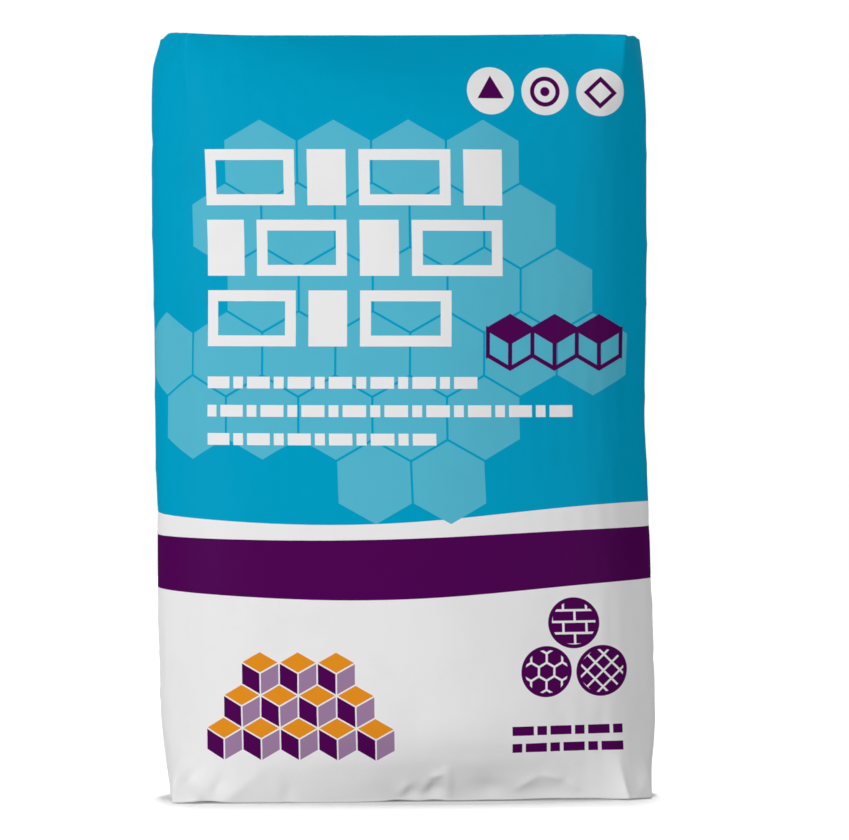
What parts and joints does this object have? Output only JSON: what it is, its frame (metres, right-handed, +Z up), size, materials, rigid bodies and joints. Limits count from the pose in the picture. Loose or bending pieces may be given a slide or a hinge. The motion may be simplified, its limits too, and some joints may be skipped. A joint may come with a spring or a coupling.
{
  "type": "cement bag",
  "caption": "Filled block-bottom paper cement bag standing on end, with pasted cover patches on both folded ends and a filling valve in a top corner.",
  "frame": {"origin": "on the floor, in the middle of the bag's box, under the bag as it stands on its bottom end", "axes": "+Z up along the bag's height, X across its width, Y through its depth with the printed front at -Y"},
  "size_m": [0.307, 0.135, 0.468],
  "materials": {
    "printed_paper": "satin printed sack paper: a blue field with paler marks above a curved white line, a curved purple band and a white foot",
    "patch_paper": "matt white cover paper, pasted over the folded ends",
    "kraft_paper": "unbleached brown kraft paper of the valve sleeve"
  },
  "bodies": {
    "root": {"sack_body": "printed_paper", "top_patch": "patch_paper", "bottom_patch": "patch_paper", "valve_sleeve": "kraft_paper"}
  },
  "joints": []
}
